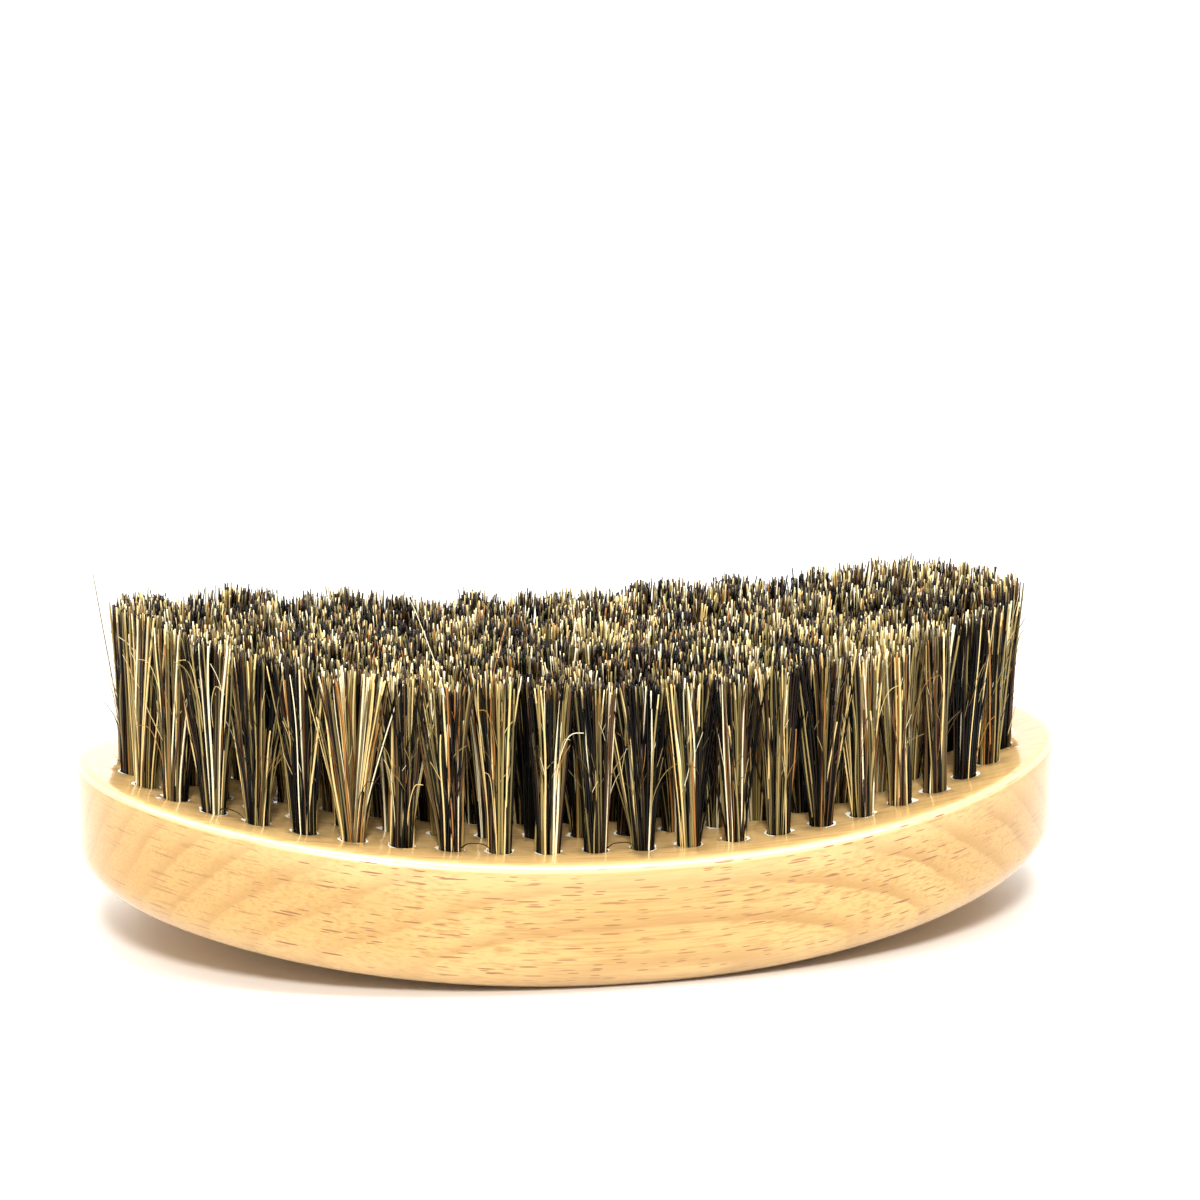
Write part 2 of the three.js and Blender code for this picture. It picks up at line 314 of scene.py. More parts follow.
SPECKS_PER_METRE = 170.0
SPECK_EDGE = (0.018, 0.03)
SPECK_SHARE = 0.10
GRAIN_RELIEF = 0.02 * MM


def beech_material():
    """Lacquered beech: soft growth rings, short dark ray flecks and a few dark specks."""
    material, tree, shader = new_material(
        "beech", Roughness=0.3, Coat_Weight=1.0, Coat_Roughness=0.09, Coat_IOR=1.6,
        Specular_IOR_Level=0.3)
    n = Nodes(tree)
    place = n.place()
    x, y, z = [n.times(part, 1 / MM) for part in n.parts(place)]

    # The grain follows the bend of the block, halfway between its face and its back.
    level = n.math("SUBTRACT", z, n.times(n.times(x, x), 1 / (FACE_BEND_RADIUS + BACK_BEND_RADIUS)))

    def streaks(along, across, detail, roughness=0.5):
        """Noise drawn out along the grain, with its scales per millimetre."""
        stretched = n.vector(n.times(x, along), n.times(y, across), n.times(level, across))
        return n.noise(stretched, 1.0, detail, roughness)

    wander = streaks(0.02, 0.06, 2.0)
    ripple = streaks(0.10, 0.4, 2.0)

    # Growth rings: tilted layers, so that the curved ends cut them into slanting bands.
    depth = n.math("ADD", n.times(y, RING_TILT[0]), n.times(z, RING_TILT[1]))
    depth = n.math("ADD", depth, n.times(wander, 3.0))
    depth = n.math("ADD", depth, n.times(ripple, 0.5))
    ring = n.math("FRACT", n.math("DIVIDE", depth, RING_SPACING))
    late = n.times(n.span(ring, 0.45, 0.9), n.span(ring, 0.9, 1.0, 1.0, 0.0))
    ring_share = n.times(late, n.span(wander, 0.3, 0.7, 0.5, 1.0))

    # Broad tone changes and fine lines along the grain.
    cloud = streaks(0.035, 0.12, 3.0)
    fibre = streaks(0.14, 3.2, 3.0, 0.6)
    colour = n.mix(n.span(cloud, 0.3, 0.7), WOOD_DARK, WOOD_LIGHT)
    colour = n.mix(n.times(ring_share, 0.8), colour, WOOD_LATE_RING)
    colour = n.mix(n.span(fibre, 0.42, 0.7, 0.0, 0.8), colour, WOOD_FIBRE)

    # The sanded face is lighter, with fine lines of its own. The sides are lightened by painted
    # light:
    # a painted highlight towards the face and painted floor bounce light towards the back, and a
    # painted highlight makes the rim round the face the lightest.
    facing = n.parts(n.add("ShaderNodeNewGeometry").outputs["Normal"])
    on_face = n.span(facing[2], 0.8, 0.95)
    colour = n.mix(n.times(on_face, 0.5), colour, WOOD_FACE)
    # Painted light: the sides lighten towards the face as a painted highlight and towards the back
    # as painted floor bounce light.
    painted_light = n.math(
        "MAXIMUM",
        n.span(level, BLOCK_THICKNESS - PAINTED_LIGHT_TOP[0], BLOCK_THICKNESS - PAINTED_LIGHT_TOP[1], 0.0, 0.32),
        n.span(level, PAINTED_LIGHT_BACK[0], PAINTED_LIGHT_BACK[1], 0.28, 0.0))
    colour = n.mix(painted_light, colour, WOOD_PAINTED_LIGHT)
    end_grain = n.span(n.math("ABSOLUTE", facing[0]), 0.25, 0.8, 0.0, 0.5)
    colour = n.mix(end_grain, colour, WOOD_END_GRAIN)
    lines = streaks(0.09, 2.1, 4.0, 0.65)
    colour = n.mix(n.times(n.span(lines, 0.48, 0.66, 0.0, 0.5), on_face), colour, WOOD_FACE_LINE)
    # Painted highlight: the rounded rim round the face is mixed towards near white.
    rim = n.times(n.span(facing[2], 0.2, 0.5), n.span(facing[2], 0.8, 0.93, 1.0, 0.0))
    colour = n.mix(n.times(rim, 0.32), colour, WOOD_RIM_HIGHLIGHT)

    # Ray flecks: thin lenses along the grain, seen edge on at the sides.
    on_side = n.span(n.math("ABSOLUTE", facing[2]), 0.35, 0.85, 1.0, 0.12)
    flecks = None
    for kind in FLECK_KINDS:
        cells = n.voronoi(n.vector(
            n.math("DIVIDE", n.math("ADD", x, kind.shift), kind.length),
            n.math("DIVIDE", y, FLECK_WIDTH),
            n.math("DIVIDE", n.math("ADD", level, kind.shift), kind.height)))
        chance, strength = n.random_parts(cells)
        lens = n.span(cells.outputs["Distance"], kind.outline * FLECK_CORE, kind.outline, 1.0, 0.0)
        lens = n.times(lens, n.math("LESS_THAN", chance, kind.share))
        lens = n.times(lens, n.span(strength, 0.0, 1.0, 0.35, 1.0))
        flecks = lens if flecks is None else n.math("MAXIMUM", flecks, lens)
    middle = n.span(n.math("ABSOLUTE", x), FLECK_FADE[0], FLECK_FADE[1], 1.0, 0.5)
    fleck_share = n.times(n.times(flecks, on_side), n.times(middle, 0.92))
    colour = n.mix(fleck_share, colour, WOOD_FLECK)

    # A few dark specks.
    cells = n.voronoi(place, SPECKS_PER_METRE)
    chance, _ = n.random_parts(cells)
    speck = n.times(n.span(cells.outputs["Distance"], SPECK_EDGE[0], SPECK_EDGE[1], 1.0, 0.0),
                    n.math("LESS_THAN", chance, SPECK_SHARE))
    colour = n.mix(n.times(speck, 0.8), colour, WOOD_SPECK)
    n.plug(colour, shader.inputs["Base Color"])
    n.plug(n.span(fibre, 0.3, 0.8, 0.27, 0.36), shader.inputs["Roughness"])
    grain = n.math("SUBTRACT", n.times(fibre, -0.4), n.times(flecks, 0.5))
    n.plug(n.bump(grain, 0.25, GRAIN_RELIEF), shader.inputs["Normal"])
    return material


def raw_wood_material():
    """Broken lacquer and torn fibre round the holes."""
    material, tree, shader = new_material("raw_wood", Roughness=0.7)
    n = Nodes(tree)
    torn = n.noise(n.place(), 4000.0, 3.0)
    n.plug(n.mix(n.span(torn, 0.35, 0.65), srgb(252, 236, 204), srgb(255, 253, 246)),
           shader.inputs["Base Color"])
    return material


def hole_material():
    """Bare drilled wood inside the holes."""
    material, tree, shader = new_material("hole_wood", Roughness=0.75)
    n = Nodes(tree)
    cut = n.noise(n.place(), 2500.0, 3.0)
    n.plug(n.mix(cut, srgb(150, 100, 52), srgb(206, 156, 92)), shader.inputs["Base Color"])
    return material


# share is that of all bristles, and tip is the shade that a tip may fade to.
Shade = namedtuple("Shade", "name colour share tip roughness shine")
BRISTLE_SHADES = (
    Shade("black", (6, 6, 6), 0.34, "dark_brown", 0.25, 0.15),
    Shade("blue_black", (14, 16, 15), 0.09, "umber", 0.24, 0.2),
    Shade("dark_brown", (32, 20, 11), 0.13, "umber", 0.28, 0.2),
    Shade("umber", (84, 56, 28), 0.08, "olive", 0.34, 0.35),
    Shade("olive", (108, 95, 54), 0.12, "khaki", 0.35, 0.4),
    Shade("khaki", (156, 136, 78), 0.09, "blond", 0.36, 0.45),
    Shade("amber", (168, 112, 46), 0.03, "blond", 0.36, 0.45),
    Shade("blond", (240, 210, 138), 0.07, "cream", 0.36, 0.5),
    Shade("cream", (255, 242, 200), 0.05, "cream", 0.36, 0.5),
)
SHADE_NAMES = [shade.name for shade in BRISTLE_SHADES]
DARK_SHADES = 3  # the first shades of the list, which count as dark


def bristle_materials():
    """One plain material for each shade, in the order of the list."""
    made = []
    for shade in BRISTLE_SHADES:
        material, _, _ = new_material(
            f"bristle_{shade.name}", Base_Color=srgb(*shade.colour), Roughness=shade.roughness,
            Specular_IOR_Level=shade.shine)
        made.append(material)
    return made


def steel_material():
    """Drawn flat wire: fine lines along it."""
    material, tree, shader = new_material("anchor_steel", Metallic=1.0)
    n = Nodes(tree)
    x, y, z = n.parts(n.place())
    drawn = n.noise(n.vector(n.times(x, 300.0), n.times(y, 300.0), n.times(z, 9000.0)), 1.0, 2.0)
    n.plug(n.mix(drawn, srgb(148, 144, 134), srgb(198, 195, 186)), shader.inputs["Base Color"])
    n.plug(n.span(drawn, 0.3, 0.7, 0.26, 0.42), shader.inputs["Roughness"])
    return material


def floor_material():
    """Matt white, with a slow, faint change of tone."""
    material, tree, shader = new_material("floor_white", Roughness=0.9, Specular_IOR_Level=0.1)
    n = Nodes(tree)
    tone = n.noise(n.place(), 3.0, 1.0)
    n.plug(n.mix(tone, srgb(230, 224, 217), srgb(233, 228, 222)), shader.inputs["Base Color"])
    return material


# ---------------------------------------------------------------------------------------
# Mesh helpers
# ---------------------------------------------------------------------------------------

def mesh_object(name, points, faces, materials, slots=None, smooth=True):
    """An object from points in millimetres. slots gives each face's material."""
    mesh = bpy.data.meshes.new(name)
    mesh.from_pydata([tuple(p) for p in np.asarray(points) * MM], [], faces)
    for material in materials:
        mesh.materials.append(material)
    if slots is not None:
        mesh.polygons.foreach_set("material_index", np.asarray(slots, dtype=np.int32))
    mesh.polygons.foreach_set("use_smooth", np.full(len(mesh.polygons), smooth))
    mesh.update()
    piece = bpy.data.objects.new(name, mesh)
    bpy.context.scene.collection.objects.link(piece)
    return piece


# ---------------------------------------------------------------------------------------
# Block
# ---------------------------------------------------------------------------------------

OUTLINE_POINTS = 320
HOLE_POINTS = 28
BACK_RINGS = (0.93, 0.85, 0.74, 0.6, 0.44, 0.28, 0.12)  # shares of the way out from the middle
GRID_STEP = 2.2  # of the points that fill the face between its holes
GRID_HOLE_GAP = 0.9
GRID_BORDER_GAP = 1.0
WELD_DISTANCE = 1e-7
SHARP_ANGLE = 40  # degrees

# The lacquer is broken all round a hole, and deeper in a few chips. A chip's width is in points
# of the hole's edge.
BROKEN_EDGE, BROKEN_EDGE_SPREAD = 0.07, 0.2
CHIPS_PER_HOLE = (1, 4)
CHIP_WIDTHS = (0.8, 2.2)
CHIP_REACHES = (0.12, 0.42)
BROKEN_DEPTH = 0.10  # how far down a hole the broken edge ends
HOLE_MOUTH_DEPTH = 1.2  # a ring of points in the wall, under its mouth


def edge_section():
    """Inset and height of the block's edge, from the face round to the back."""
    section = []
    for turn in np.linspace(0, math.pi / 2, 7):
        section.append((FACE_EDGE_RADIUS * (1 - math.sin(turn)),
                        BLOCK_THICKNESS - FACE_EDGE_RADIUS * (1 - math.cos(turn))))
    for height in np.linspace(BLOCK_THICKNESS - FACE_EDGE_RADIUS, BACK_EDGE_RADIUS, 8)[1:-1]:
        section.append((0.0, height))
    for turn in np.linspace(0, math.pi / 2, 11):
        section.append((BACK_EDGE_RADIUS * (1 - math.cos(turn)),
                        BACK_EDGE_RADIUS * (1 - math.sin(turn))))
    return section


def on_block(flat, height):
    """Bends points of the flat blank, at a height above its back, to the block's radii."""
    x = flat[:, 0]
    share = height / BLOCK_THICKNESS
    z = back_height(x) * (1 - share) + face_height(x) * share
    return np.column_stack([flat, np.maximum(z, 0.0)])


def hole_rims(rng):
    """For every hole, its wall points and the wider, broken edge of the lacquer round it."""
    turns = np.linspace(0, 2 * math.pi, HOLE_POINTS, endpoint=False)
    circle = np.column_stack([np.cos(turns), np.sin(turns)])
    half = HOLE_POINTS / 2
    rims = []
    for tuft in TUFTS:
        chips = BROKEN_EDGE + BROKEN_EDGE_SPREAD * np.array([rng.random() ** 2 for _ in turns])
        for _ in range(rng.randint(*CHIPS_PER_HOLE)):
            at = rng.random() * HOLE_POINTS
            wide = rng.uniform(*CHIP_WIDTHS)
            reach = rng.uniform(*CHIP_REACHES)
            away = np.abs((np.arange(HOLE_POINTS) - at + half) % HOLE_POINTS - half)
            chips = chips + reach * np.exp(-(away / wide) ** 2)
        wall = tuft["place"] + circle * HOLE_DIAMETER / 2
        edge = tuft["place"] + circle * (HOLE_DIAMETER / 2 + chips)[:, None]
        rims.append((wall, edge))
    return rims


def inside_outline(x, y, inset):
    """Whether points lie inside the block's outline, drawn in by an inset."""
    return ((np.abs(x) / (HALF_LENGTH - inset)) ** OUTLINE_POWER
            + (np.abs(y) / (HALF_WIDTH - inset)) ** OUTLINE_POWER) < 1


def face_sheet(border, rims):
    """Triangles of the bristle face between its border and the rims of the holes."""
    points = [Vector(p) for p in border]
    edges = [(i, (i + 1) % len(border)) for i in range(len(border))]
    for _, edge in rims:
        first = len(points)
        points += [Vector(p) for p in edge]
        edges += [(first + i, first + (i + 1) % HOLE_POINTS) for i in range(HOLE_POINTS)]
    centres = np.array([tuft["place"] for tuft in TUFTS])
    for x in np.arange(-HALF_LENGTH, HALF_LENGTH, GRID_STEP):
        for y in np.arange(-HALF_WIDTH, HALF_WIDTH, GRID_STEP):
            nearest = np.min(np.linalg.norm(centres - (x, y), axis=1))
            clear = nearest > HOLE_DIAMETER / 2 + GRID_HOLE_GAP
            if clear and inside_outline(x, y, FACE_EDGE_RADIUS + GRID_BORDER_GAP):
                points.append(Vector((x, y)))
    found = geometry.delaunay_2d_cdt(points, edges, [], 0, WELD_DISTANCE)
    flat = np.array([tuple(p) for p in found[0]])
    triangles = [tuple(face) for face in found[2]]
    middles = np.array([flat[list(t)].mean(axis=0) for t in triangles])
    inside = inside_outline(middles[:, 0], middles[:, 1], FACE_EDGE_RADIUS)
    kept = []
    for triangle, middle, good in zip(triangles, middles, inside):
        nearest = int(np.argmin(np.linalg.norm(centres - middle, axis=1)))
        if good and not in_polygon(middle, rims[nearest][1]):
            kept.append(triangle)
    return flat, kept, found[3]


def in_polygon(point, corners):
    x, y = point
    nxt = np.roll(corners, -1, axis=0)
    crosses = (corners[:, 1] > y) != (nxt[:, 1] > y)
    span = np.where(crosses, nxt[:, 1] - corners[:, 1], 1.0)
    at = (nxt[:, 0] - corners[:, 0]) * (y - corners[:, 1]) / span + corners[:, 0]
    return bool(np.sum(crosses & (x < at)) % 2)


def make_block(materials):
    rng = random.Random(SEED)
    angles = np.linspace(0, 2 * math.pi, OUTLINE_POINTS, endpoint=False)
    section = edge_section()
    border = oval(HALF_LENGTH - section[0][0], HALF_WIDTH - section[0][0], angles)
    rims = hole_rims(rng)
    flat, triangles, originals = face_sheet(border, rims)

    # The sheet's points are stored first, and each input point keeps its new number.
    number = {}
    for new, olds in enumerate(originals):
        for old in olds:
            number[old] = new
    points = [on_block(flat, BLOCK_THICKNESS)]
    total = len(flat)
    faces = list(triangles)
    slots = [0] * len(triangles)

    # Edge and back, ring by ring.
    previous = [number[i] for i in range(OUTLINE_POINTS)]
    rings = [(HALF_LENGTH - inset, HALF_WIDTH - inset, height) for inset, height in section[1:]]
    for share in BACK_RINGS:
        rings.append(((HALF_LENGTH - BACK_EDGE_RADIUS) * share,
                      (HALF_WIDTH - BACK_EDGE_RADIUS) * share, 0.0))
    for half_length, half_width, height in rings:
        points.append(on_block(oval(half_length, half_width, angles), height))
        current = list(range(total, total + OUTLINE_POINTS))
        total += OUTLINE_POINTS
        for i in range(OUTLINE_POINTS):
            j = (i + 1) % OUTLINE_POINTS
            faces.append((previous[j], previous[i], current[i], current[j]))
            slots.append(0)
        previous = current
    points.append(on_block(np.zeros((1, 2)), 0.0))
    for i in range(OUTLINE_POINTS):
        faces.append((previous[(i + 1) % OUTLINE_POINTS], previous[i], total))
        slots.append(0)
    total += 1

    # Holes: the broken edge, the wall and the floor.
    start = OUTLINE_POINTS
    for tuft, (wall, _) in zip(TUFTS, rims):
        outer = [number[start + i] for i in range(HOLE_POINTS)]
        start += HOLE_POINTS
        top = face_height(wall[:, 0])
        floor = float(face_height(tuft["place"][0])) - HOLE_DEPTH
        levels = (top - BROKEN_DEPTH, top - HOLE_MOUTH_DEPTH, np.full(HOLE_POINTS, floor))
        for step, level in enumerate(levels):
            points.append(np.column_stack([wall, level]))
            current = list(range(total, total + HOLE_POINTS))
            total += HOLE_POINTS
            for i in range(HOLE_POINTS):
                j = (i + 1) % HOLE_POINTS
                faces.append((outer[i], outer[j], current[j], current[i]))
                slots.append(1 if step == 0 else 2)
            outer = current
        faces.append(tuple(outer))
        slots.append(2)
    block = mesh_object("beech_block", np.vstack(points), faces, materials, slots)
    mark_sharp(block, SHARP_ANGLE)
    return block


def mark_sharp(piece, degrees):
    """Edges that turn by more than this stay sharp under smooth shading."""
    work = bmesh.new()
    work.from_mesh(piece.data)
    limit = math.radians(degrees)
    for edge in work.edges:
        edge.smooth = len(edge.link_faces) != 2 or edge.calc_face_angle() < limit
    work.to_mesh(piece.data)
    work.free()


# ---------------------------------------------------------------------------------------
# Bristles
# ---------------------------------------------------------------------------------------

HAIR_SIDES = 4
TWIG_SIDES = 3
BRISTLES_PER_TUFT = 58  # each is folded over the anchor, so it shows two ends
BRISTLE_RADII = (0.07, 0.15)
TIP_TAPER = (0.7, 0.86, 0.95)  # shares of the radius at the last points before a tip
HAIR_LEVELS = (0.0, 0.08, 0.2, 0.33, 0.46, 0.59, 0.71, 0.82, 0.91, 0.955, 1.0)
HOLE_REACH = HOLE_DIAMETER / 2 - 0.1  # how far from a hole's middle its bristles stand
SPARE_PLACES = 8  # so that half of the disc holds enough
GOLDEN_ANGLE = math.pi * (3 - math.sqrt(5))

TIP_SPREAD = 1.7  # how far the outer row's tips stand outside the middle of the row
TIP_DROP = 0.55  # how much lower the tips at the side of a tuft end than those in its middle
TIP_FILL = 1.02  # share of half the pitch that the tips of a tuft fill
LEAN_POWERS = (0.95, 1.4)

# How tufts, their locks and single bristles differ. A spread is a standard deviation.
TUFT_HEIGHT_SPREAD = 0.3
TUFT_LEAN_SPREAD = 0.3
TUFT_DARKNESS_SPREAD = 0.5
LOCKS_PER_TUFT = (4, 6)
LOCK_LEAN_SPREADS = (0.75, 0.55)  # along the row and across it
LOCK_HEIGHT_SPREAD = 0.3
LOCK_DARKNESS_SPREAD = 0.75
HAIR_TIP_SPREAD = 0.3
HAIR_LENGTH_SPREAD = 0.35
ASTRAY_CHANCE, ASTRAY_BY = 0.09, (1.0, 3.0)
SHORT_CHANCE, SHORT_BY = 0.12, (0.8, 9.0)
SWAY_SPREAD, SWAY_STARTS, SWAY_RATES = 0.2, (0, 6.3), (3.0, 7.0)
FIRST_END_SPREAD, SECOND_END_SPREAD = 0.03, 0.05
DARK_FADE_CHANCE, LIGHT_FADE_CHANCE = 0.15, 0.4
FADED_STEPS = 2

# A bristle's fold: its two legs stand at the sides of the anchor, and its bend is under it.
LEG_OFFSET = 0.4
LEG_HEIGHT = 1.0
LEG_SQUEEZE = 0.9
FOLD_DROPS = (0.25, 1.0)

# Twigs: thin branches that have split off.
OUTSIDE_TWIG_CHANCE, INNER_TWIG_CHANCE = 0.34, 0.05
TWIG_ANGLES = (0.12, 0.5)
TWIG_LENGTHS = (1.8, 5.0)
TWIG_BEND, TWIG_BEND_SPREAD = 0.05, 0.15
TWIG_SHARES = (0.0, 0.33, 0.67, 1.0)
TWIG_RADII = (0.55, 0.42, 0.32, 0.2)  # shares of the bristle's radius
TWIG_OWN_SHADE_CHANCE = 0.4


class HairMesh:
    """Collects tubes of bristle, each with its own shade."""

    def __init__(self):
        self.points = []
        self.faces = []
        self.slots = []
        self.total = 0

    def tube(self, path, radii, shades, sides=HAIR_SIDES):
        """A round tube along a path. shades gives each step's material number."""
        path = np.asarray(path, dtype=float)
        tangents = np.gradient(path, axis=0)
        tangents /= np.linalg.norm(tangents, axis=1)[:, None]
        turns = np.linspace(0, 2 * math.pi, sides, endpoint=False)
        cosines, sines = np.cos(turns)[:, None], np.sin(turns)[:, None]
        side = np.cross(tangents[0], (0.31, 0.83, 0.46))
        for centre, tangent, radius in zip(path, tangents, radii):
            side = side - tangent * np.dot(side, tangent)
            side /= np.linalg.norm(side)
            other = np.cross(tangent, side)
            self.points.append(centre + (cosines * side + sines * other) * radius)
        first = self.total
        steps = len(path) - 1
        for i in range(steps):
            low = first + i * sides
            for k in range(sides):
                j = (k + 1) % sides
                self.faces.append((low + k, low + j, low + sides + j, low + sides + k))
                self.slots.append(shades[i])
        end = first + steps * sides
        self.faces.append(tuple(range(first + sides - 1, first - 1, -1)))
        self.faces.append(tuple(range(end, end + sides)))
        self.slots += [shades[0], shades[-1]]
        self.total += (steps + 1) * sides

    def build(self, name, materials):
        return mesh_object(name, np.vstack(self.points), self.faces, materials, self.slots)


def pick_shade(rng, darkness):
    """A shade number. darkness above 1 favours the dark shades of the list."""
    weights = [shade.share * (darkness if i < DARK_SHADES else 1.0)
               for i, shade in enumerate(BRISTLE_SHADES)]
    return rng.choices(range(len(weights)), weights)[0]


def tip_shade(shade):
    return SHADE_NAMES.index(BRISTLE_SHADES[shade].tip)


def over_face(tuft, flat):
    """World point of (along the row, outwards, height over the face) beside a tuft."""
    along = tuft["along"]
    out = np.array([along[1], -along[0]])
    x, y = tuft["place"] + along * flat[0] + out * flat[1]
    return (x, y, float(face_height(x)) + flat[2])


class Tuft:
    """How one tuft's bristles lean: a few locks, each with its own lean and shade."""

    def __init__(self, rng, tuft):
        self.tuft = tuft
        self.outer = tuft["row"] == 0
        self.height = rng.gauss(0, TUFT_HEIGHT_SPREAD)
        self.lean = (rng.gauss(0, TUFT_LEAN_SPREAD), rng.gauss(0, TUFT_LEAN_SPREAD))
        self.locks = []
        for _ in range(rng.randint(*LOCKS_PER_TUFT)):
            self.locks.append({
                "angle": rng.uniform(0, 2 * math.pi),
                "lean": [rng.gauss(0, spread) for spread in LOCK_LEAN_SPREADS],
                "height": rng.gauss(0, LOCK_HEIGHT_SPREAD),
                "darkness": math.exp(rng.gauss(0, LOCK_DARKNESS_SPREAD)),
            })
        self.darkness = math.exp(rng.gauss(0, TUFT_DARKNESS_SPREAD))

    def lock(self, across, side):
        """The lock that the place at these shares of the hole's radius belongs to."""
        angle = math.atan2(side, across)
        return min(self.locks, key=lambda lock: 1 - math.cos(angle - lock["angle"]))

    def free_end(self, rng, across, side):
        """Points of one bristle from the face to its tip. across and side are shares."""
        lock = self.lock(across, side)
        outward = TIP_SPREAD if self.outer and side > 0 else ROW_SPACING / 2
        tip = [across * self.tuft["half_pitch"] * TIP_FILL + lock["lean"][0] + self.lean[0],
               side * outward + lock["lean"][1] + self.lean[1]]
        tip = [value + rng.gauss(0, HAIR_TIP_SPREAD) for value in tip]
        if rng.random() < ASTRAY_CHANCE:
            tip[0] += rng.choice((-1, 1)) * rng.uniform(*ASTRAY_BY)
        length = BRISTLE_LENGTH + self.height + lock["height"] + rng.gauss(0, HAIR_LENGTH_SPREAD)
        length -= TIP_DROP * (across * across + side * side)
        if rng.random() < SHORT_CHANCE:
            length -= rng.uniform(*SHORT_BY)
        power = rng.uniform(*LEAN_POWERS)
        sway = [(rng.gauss(0, SWAY_SPREAD), rng.uniform(*SWAY_STARTS), rng.uniform(*SWAY_RATES))
                for _ in range(2)]
        points = []
        for level in HAIR_LEVELS:
            share = level ** power
            x = across * HOLE_REACH + (tip[0] - across * HOLE_REACH) * share
            y = side * HOLE_REACH + (tip[1] - side * HOLE_REACH) * share
            x += sway[0][0] * level * math.sin(sway[0][1] + sway[0][2] * level)
            y += sway[1][0] * level * math.sin(sway[1][1] + sway[1][2] * level)
            points.append((x, y, level * length))
        return points


def add_bristle(hair, rng, tuft, across, side):
    """One bristle, from one tip down to the anchor, under it and up to the other tip."""
    thick = rng.uniform(*BRISTLE_RADII)
    first = tuft.free_end(rng, across, side + rng.gauss(0, FIRST_END_SPREAD))[::-1]
    second = tuft.free_end(rng, -across + rng.gauss(0, SECOND_END_SPREAD),
                           side + rng.gauss(0, SECOND_END_SPREAD))
    anchor = -HOLE_DEPTH + ANCHOR_LIFT
    hand = math.copysign(LEG_OFFSET, across)
    beside = side * HOLE_REACH * LEG_SQUEEZE
    fold = [(hand, beside, anchor + LEG_HEIGHT),
            (0.0, beside, anchor - rng.uniform(*FOLD_DROPS)),
            (-hand, beside, anchor + LEG_HEIGHT)]
    shade = pick_shade(rng, tuft.darkness * tuft.lock(across, side)["darkness"])
    other = pick_shade(rng, tuft.darkness * tuft.lock(-across, side)["darkness"])
    path = [over_face(tuft.tuft, p) for p in first + fold + second]
    count = len(path)
    fade_chance = DARK_FADE_CHANCE if shade < DARK_SHADES else LIGHT_FADE_CHANCE
    fading = rng.random() < fade_chance
    radii = []
    shades = []
    for i in range(count):
        from_tip = min(i, count - 1 - i)
        radii.append(thick * TIP_TAPER[from_tip] if from_tip < len(TIP_TAPER) else thick)
    for i in range(count - 1):
        own = shade if i < count // 2 else other
        near_tip = min(i, count - 2 - i) < FADED_STEPS
        shades.append(tip_shade(own) if near_tip and fading else own)
    hair.tube(path, radii, shades)
    for end, own in ((first[::-1], shade), (second, other)):
        chance = OUTSIDE_TWIG_CHANCE if tuft.outer and side > 0 else INNER_TWIG_CHANCE
        if rng.random() < chance:
            add_twig(hair, rng, tuft.tuft, end, own, thick)


def add_twig(hair, rng, tuft, end, shade, thick):
    """A thin branch that has split off a bristle and bends away from it."""
    at = rng.randint(3, len(end) - 5)
    start = np.array(end[at])
    rise = np.array(end[at + 1]) - start
    rise /= np.linalg.norm(rise)
    turn = rng.uniform(0, 2 * math.pi)
    away = np.array([math.cos(turn), abs(math.sin(turn)), 0.0])
    angle = rng.uniform(*TWIG_ANGLES)
    length = rng.uniform(*TWIG_LENGTHS)
    bend = rng.gauss(TWIG_BEND, TWIG_BEND_SPREAD)
    points = []
    for share in TWIG_SHARES:
        tilt = angle + bend * share
        step = rise * math.cos(tilt) + away * math.sin(tilt)
        points.append(start + step * length * share)
    light = min(len(BRISTLE_SHADES) - 1, max(shade, DARK_SHADES) + rng.randint(0, 2))
    own = shade if rng.random() < TWIG_OWN_SHADE_CHANCE else light
    radii = [thick * share for share in TWIG_RADII]
    hair.tube([over_face(tuft, p) for p in points], radii, [own] * 3, TWIG_SIDES)


def half_disc_places(count):
    """Places spread evenly over the half of a unit disc where the first share is positive."""
    places = []
    total = 2 * count + SPARE_PLACES
    for i in range(total):
        radius = math.sqrt((i + 0.5) / total)
        across, side = radius * math.cos(i * GOLDEN_ANGLE), radius * math.sin(i * GOLDEN_ANGLE)
        if across > 0 and len(places) < count:
            places.append((across, side))
    return places


def make_tufts(materials):
    places = half_disc_places(BRISTLES_PER_TUFT)
    for number, (node, tufts) in enumerate(CLUMPS):
        rng = random.Random(SEED + 101 * number)
        hair = HairMesh()
        for place in tufts:
            tuft = Tuft(rng, place)
            for across, side in places:
                add_bristle(hair, rng, tuft, across, side)
        piece = hair.build("bristles_" + node, materials)
        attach(piece, "root")
        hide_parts(node)


def make_anchors(material):
    """The flat wire anchors of the nested rows, which stand across the row over the fold."""
    side, base = ANCHOR_WIDTH / 2, ANCHOR_LIFT - HOLE_DEPTH
    top = base + ANCHOR_HEIGHT
    outline = [(side - ANCHOR_CHAMFER, base), (side, base + ANCHOR_CHAMFER), (side, top),
               (-side, top), (-side, base + ANCHOR_CHAMFER), (-side + ANCHOR_CHAMFER, base)]
    corners = len(outline)
    for node, tufts in CLUMPS:
        if node.startswith("centre"):
            continue
        points, faces = [], []
        for tuft in tufts:
            along, place = tuft["along"], tuft["place"]
            out = np.array([along[1], -along[0]])
            first = len(points)
            for half in (-ANCHOR_THICKNESS / 2, ANCHOR_THICKNESS / 2):
                for across, height in outline:
                    x, y = place + out * across + along * half
                    points.append((x, y, float(face_height(place[0])) + height))
            faces.append(tuple(range(first + corners - 1, first - 1, -1)))
            faces.append(tuple(range(first + corners, first + 2 * corners)))
            for i in range(corners):
                j = (i + 1) % corners
                faces.append((first + i, first + j, first + corners + j, first + corners + i))
        piece = mesh_object("anchors_" + node, points, faces, [material], smooth=False)
        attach(piece, "root")
